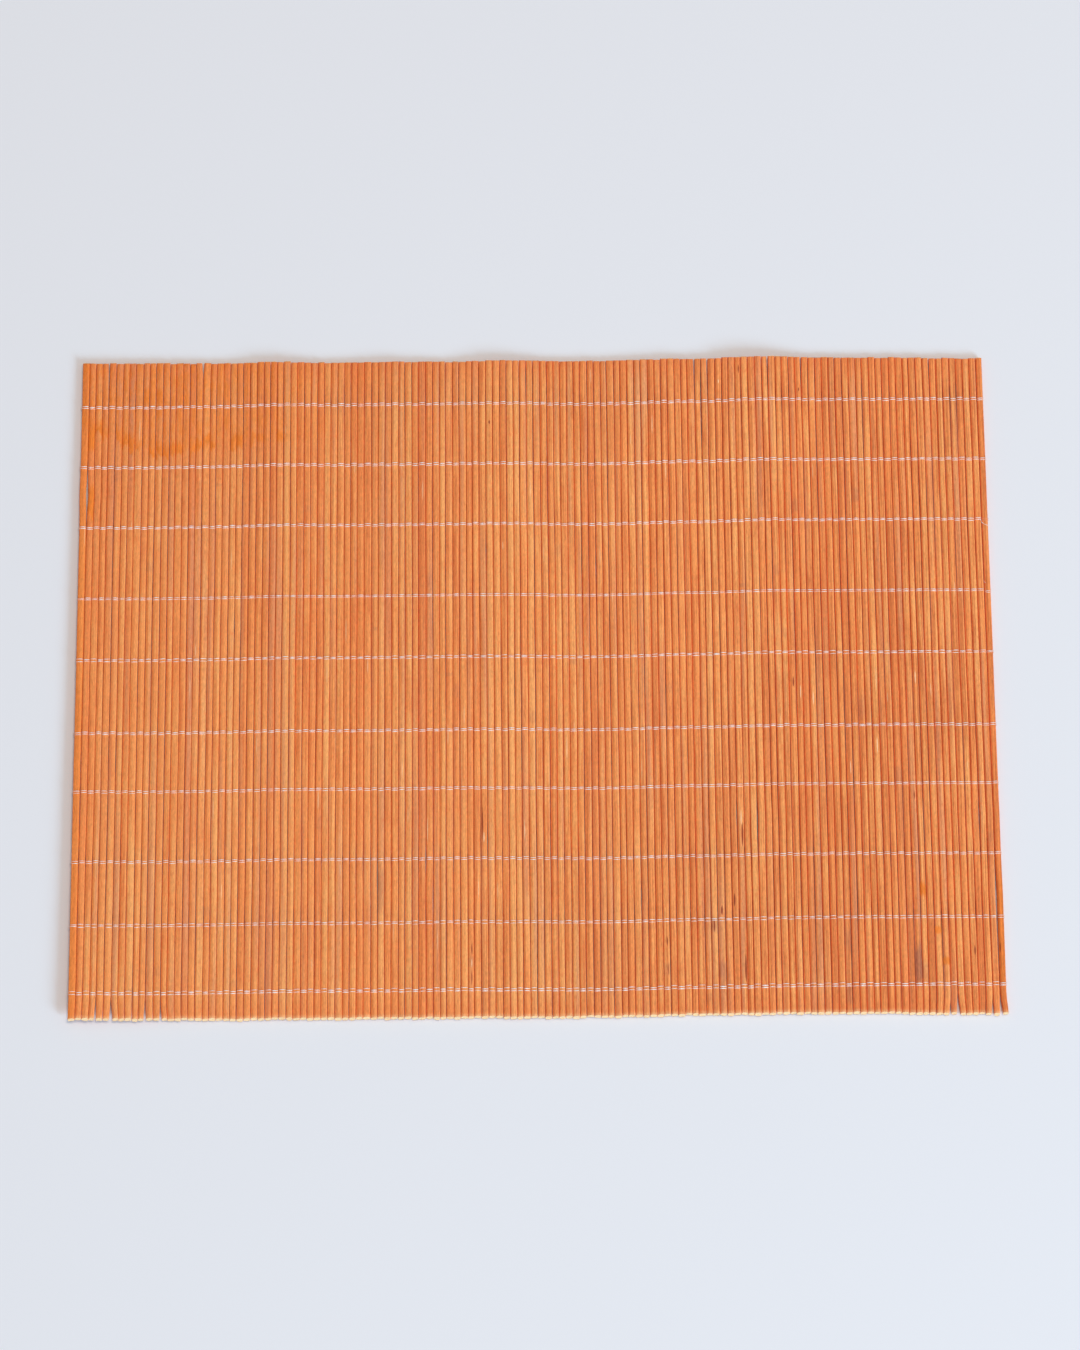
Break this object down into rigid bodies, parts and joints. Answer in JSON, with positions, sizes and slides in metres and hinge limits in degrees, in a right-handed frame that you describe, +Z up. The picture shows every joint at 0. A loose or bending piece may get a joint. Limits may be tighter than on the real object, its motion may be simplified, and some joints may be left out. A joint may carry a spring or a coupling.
{
  "type": "bamboo placemat",
  "caption": "Rectangular placemat of orange-stained split bamboo sticks laid side by side and held by woven lines of pale thread, lying flat with a few low folds.",
  "frame": {"origin": "on the table, under the middle of the mat", "axes": "+X along the long side, the way the thread runs; +Y along the sticks, away from the near edge; +Z up out of the face"},
  "size_m": [0.4014, 0.3014, 0.0054],
  "materials": {
    "bamboo": "orange-stained split bamboo with a satin rind",
    "thread": "matt off-white spun thread"
  },
  "bodies": {
    "root": {"stick_field": "bamboo", "thread_line_01": "thread", "thread_line_02": "thread", "thread_line_03": "thread", "thread_line_04": "thread", "thread_line_05": "thread", "thread_line_06": "thread", "thread_line_07": "thread", "thread_line_08": "thread", "thread_line_09": "thread", "thread_line_10": "thread"}
  },
  "joints": []
}
